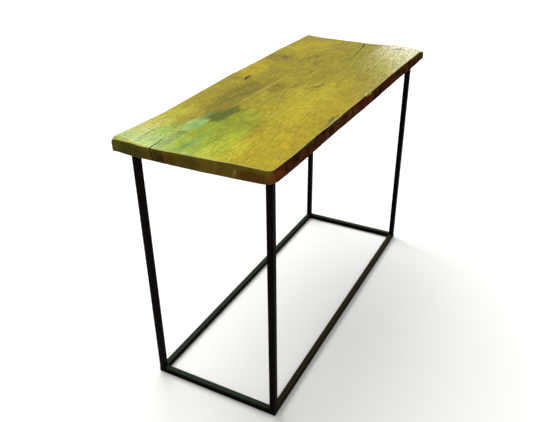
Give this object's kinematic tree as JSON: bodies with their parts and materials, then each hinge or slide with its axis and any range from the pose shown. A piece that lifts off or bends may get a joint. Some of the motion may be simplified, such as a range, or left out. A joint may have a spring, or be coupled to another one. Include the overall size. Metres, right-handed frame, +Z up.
{
  "type": "narrow worktable",
  "caption": "Narrow rectangular table: thick edge-jointed old boards with a wavy natural front edge, screwed to a welded open box frame of square steel tube with a floor ring.",
  "frame": {"origin": "on the floor, under the middle of the top's bounding box", "axes": "+X along the table, +Y across it to the back (the wavy natural edge is on -Y, the front), +Z up"},
  "size_m": [1.356, 0.53, 0.878],
  "materials": {
    "timber": "gloss varnish over old wood",
    "dowel_wood": "raw",
    "frame_paint": "black, half gloss",
    "weld_paint": "black, half gloss, rippled",
    "screw_zinc": "zinc plated"
  },
  "bodies": {
    "root": {"front_board": "timber", "middle_board": "timber", "back_board": "timber", "front_seam_dowels": "dowel_wood", "back_seam_dowels": "dowel_wood", "top_rail_front": "frame_paint", "top_rail_back": "frame_paint", "top_rail_left": "frame_paint", "top_rail_right": "frame_paint", "post_front_left": "frame_paint", "post_front_right": "frame_paint", "post_back_left": "frame_paint", "post_back_right": "frame_paint", "bottom_rail_front": "frame_paint", "bottom_rail_back": "frame_paint", "bottom_rail_left": "frame_paint", "bottom_rail_right": "frame_paint", "foot_welds": "weld_paint", "head_welds": "weld_paint", "bottom_corner_welds": "weld_paint", "top_corner_welds": "weld_paint", "front_rail_screws": "screw_zinc", "back_rail_screws": "screw_zinc", "left_rail_screws": "screw_zinc", "right_rail_screws": "screw_zinc"}
  },
  "joints": []
}
